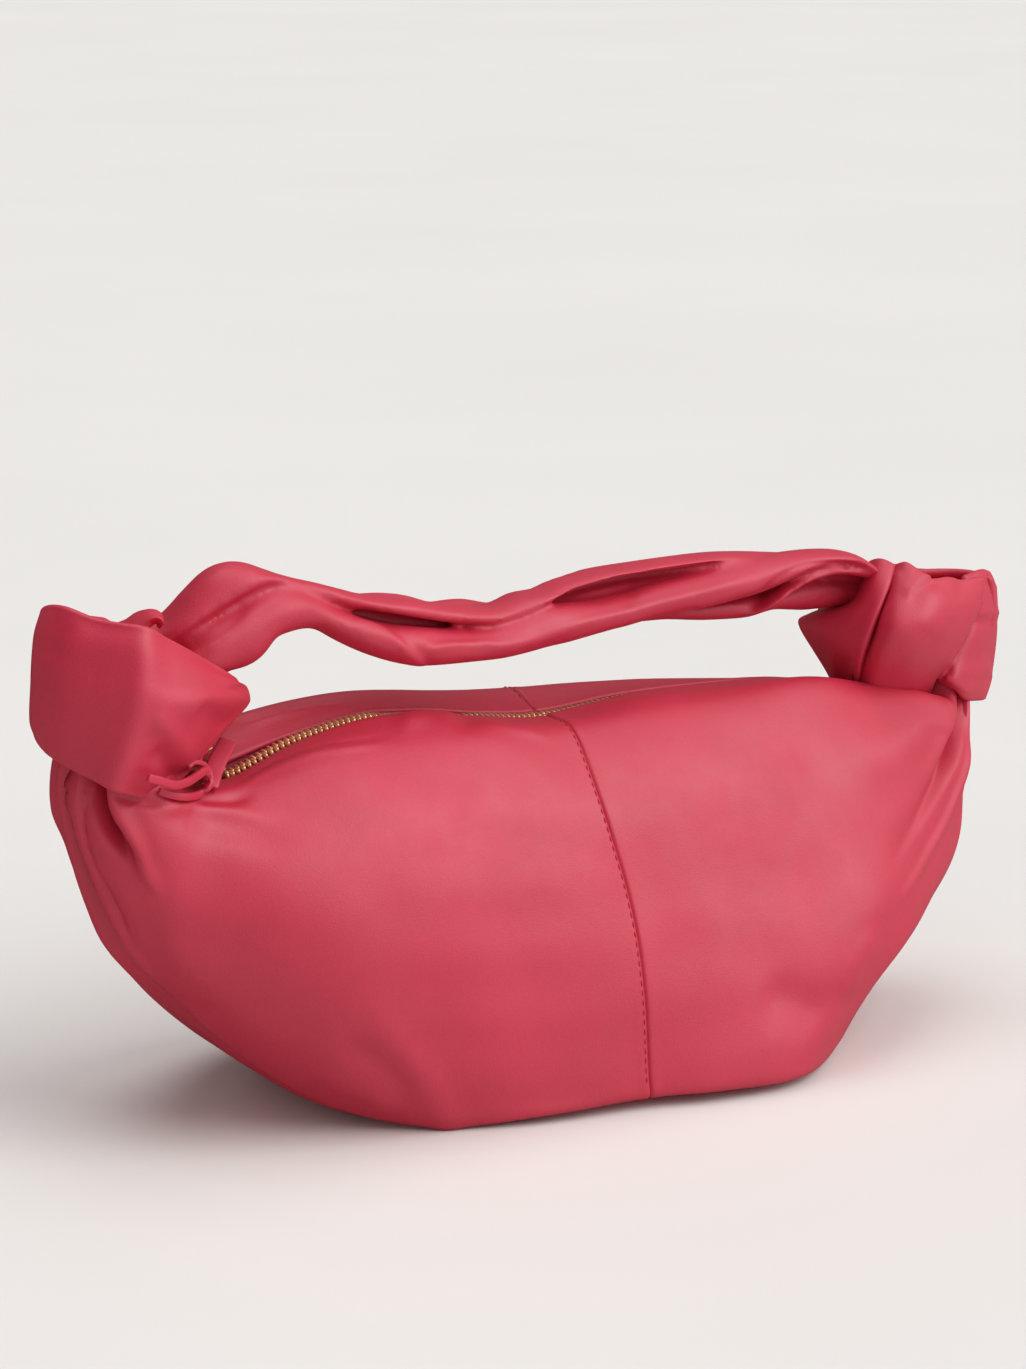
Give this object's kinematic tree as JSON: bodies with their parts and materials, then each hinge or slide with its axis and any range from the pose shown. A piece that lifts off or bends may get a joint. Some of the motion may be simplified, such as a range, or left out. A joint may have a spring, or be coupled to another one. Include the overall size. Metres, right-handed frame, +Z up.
{
  "type": "top handle bag",
  "caption": "Small soft leather handbag with gathered ends tied in knots, a zipped top mouth that opens sideways, a flat base and a folded strap handle that lifts and swings.",
  "frame": {"origin": "middle of the flat base, on the surface the bag stands on", "axes": "+X along the mouth from the closed slider end to the far end, +Y from the front to the back, +Z up"},
  "size_m": [0.345, 0.1314, 0.1694],
  "materials": {
    "leather": "smooth satin, fine grain",
    "lining": "matt woven cotton",
    "tape": "matt woven tape",
    "brass": "polished, pale gold",
    "thread": "twisted thread",
    "board": "matt"
  },
  "bodies": {
    "bag": {"base_panel": "leather", "base_board": "board", "left_gathered_end": "leather", "right_gathered_end": "leather", "zip_far_stop": "brass", "zip_far_tab": "leather", "left_knot_wrap": "leather", "left_knot_turn": "leather", "right_knot_wrap": "leather", "right_knot_turn": "leather"},
    "front_side": {"front_left_panel": "leather", "front_right_panel": "leather", "front_lining": "lining", "front_zip_tape": "tape", "front_zip_teeth": "brass", "front_seam_thread": "thread"},
    "back_side": {"back_left_panel": "leather", "back_right_panel": "leather", "back_lining": "lining", "inner_pocket": "lining", "back_zip_tape": "tape", "back_zip_teeth": "brass", "back_seam_thread": "thread"},
    "zip_slider": {"zip_slider": "brass", "zip_slider_post": "brass"},
    "zip_pull": {"zip_pull_loop": "leather", "zip_pull_tails": "leather"},
    "handle_sling": {"handle_left_run": "leather", "handle_right_run": "leather"},
    "handle_grip": {"handle_grip": "leather"}
  },
  "joints": [
    {"name": "mouth_front", "type": "hinge", "parent": "bag", "child": "front_side", "pos_m": [0, -0.0595, 0.0026], "axis": [1, 0, 0], "range_deg": [0, 15]},
    {"name": "mouth_back", "type": "hinge", "parent": "bag", "child": "back_side", "pos_m": [0, 0.0595, 0.0026], "axis": [1, 0, 0], "range_deg": [-15, 0]},
    {"name": "zip_travel", "type": "slide", "parent": "bag", "child": "zip_slider", "axis": [0.997, 0, 0.0778], "range_m": [0, 0.216]},
    {"name": "pull_swing", "type": "hinge", "parent": "zip_slider", "child": "zip_pull", "pos_m": [-0.11853, 0, 0.11215], "axis": [-0.03, 0, 0.9996], "range_deg": [0, 45]},
    {"name": "handle_swing", "type": "hinge", "parent": "bag", "child": "handle_sling", "pos_m": [0, 0, 0.13], "axis": [1, 0, 0], "range_deg": [-45, 45]},
    {"name": "handle_lift", "type": "slide", "parent": "handle_sling", "child": "handle_grip", "axis": [0, 0, 1], "range_m": [0, 0.03]}
  ],
  "couplings": [
    {"joint": "mouth_back", "follows": "mouth_front", "ratio": -1},
    {"joint": "zip_travel", "follows": "mouth_front", "m_per_rad": 0.825}
  ]
}
